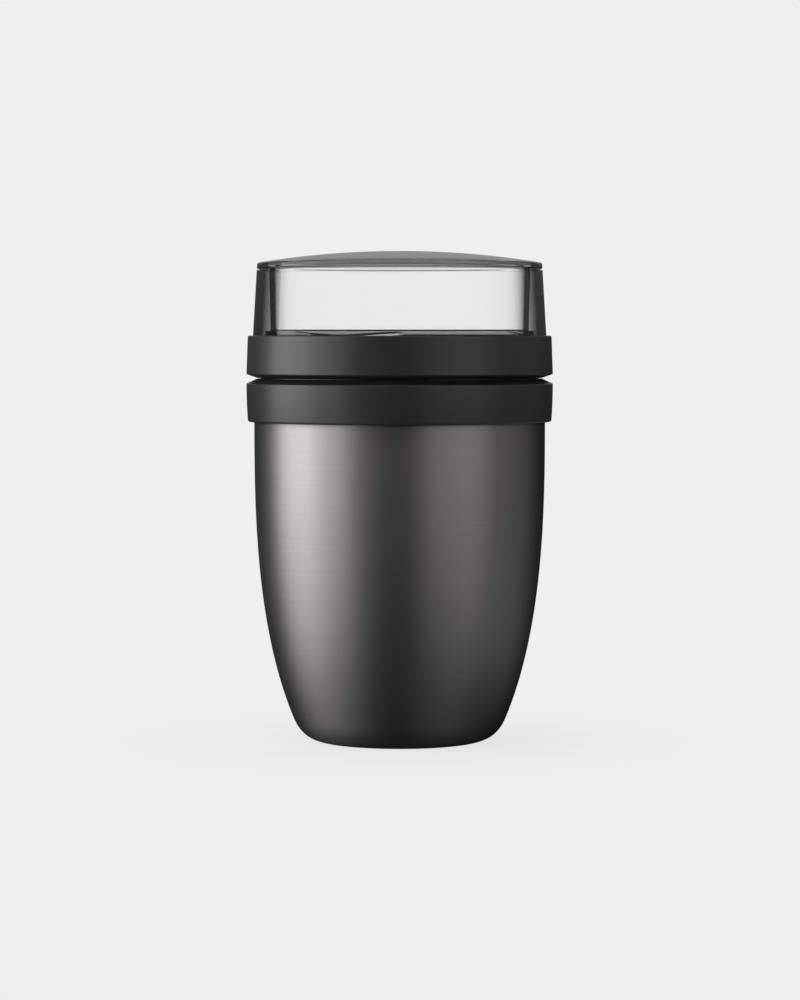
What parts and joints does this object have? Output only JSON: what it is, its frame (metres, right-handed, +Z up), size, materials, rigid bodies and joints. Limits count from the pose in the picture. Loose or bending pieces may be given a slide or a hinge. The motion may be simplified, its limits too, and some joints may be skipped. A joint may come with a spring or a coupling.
{
  "type": "insulated bowl",
  "caption": "Double-walled steel lunch bowl with a black collar, a black screw lid and a clear domed cup on top; lid, cup, sleeve and cap come apart to eat a hot meal and a side.",
  "frame": {"origin": "centre of the foot, on the table", "axes": "+Z up along the axis of revolution, from the foot to the dome; the picture looks along +Y"},
  "size_m": [0.107, 0.107, 0.1713],
  "materials": {
    "brushed_steel_dark": "dark warm grey, brushed round",
    "steel_plain": "plain satin",
    "button_metal": "dull",
    "getter_metal": "dull, pressed",
    "black_plastic": "satin",
    "grey_silicone": "soft matt",
    "clear_silicone": "milky",
    "foam": "rough",
    "clear_plastic": "clear, polished"
  },
  "bodies": {
    "pot": {"outer_shell": "brushed_steel_dark", "inner_liner": "steel_plain", "base_plate": "steel_plain", "vacuum_seal_button": "button_metal", "getter": "getter_metal", "collar": "black_plastic", "collar_gasket": "grey_silicone"},
    "lid_gasket": {"lid_seal": "grey_silicone"},
    "lid": {"lid_body": "black_plastic", "plug_cap": "black_plastic", "lid_insulation": "foam", "cup_gasket": "grey_silicone"},
    "cup": {"snack_cup": "clear_plastic"},
    "rim_gasket": {"rim_seal": "clear_silicone"},
    "sleeve": {"clear_sleeve": "clear_plastic"},
    "cap": {"dome_cap": "clear_plastic"}
  },
  "joints": [
    {"name": "lid_lift", "type": "slide", "parent": "pot", "child": "lid_gasket", "axis": [0, 0, 1], "range_m": [0, 0.045]},
    {"name": "lid_turn", "type": "hinge", "parent": "lid_gasket", "child": "lid", "pos_m": [0, 0, 0.13], "axis": [0, 0, 1], "range_deg": [0, 900]},
    {"name": "cup_lift", "type": "slide", "parent": "lid", "child": "cup", "axis": [0, 0, 1], "range_m": [0, 0.04]},
    {"name": "sleeve_lift", "type": "slide", "parent": "cup", "child": "rim_gasket", "axis": [0, 0, 1], "range_m": [0, 0.036]},
    {"name": "sleeve_turn", "type": "hinge", "parent": "rim_gasket", "child": "sleeve", "pos_m": [0, 0, 0.14], "axis": [0, 0, 1], "range_deg": [0, 720]},
    {"name": "cap_lift", "type": "slide", "parent": "sleeve", "child": "cap", "axis": [0, 0, 1], "range_m": [0, 0.02]}
  ],
  "couplings": [
    {"joint": "lid_lift", "follows": "lid_turn", "m_per_rad": 0.0028648},
    {"joint": "sleeve_lift", "follows": "sleeve_turn", "m_per_rad": 0.0028648}
  ]
}
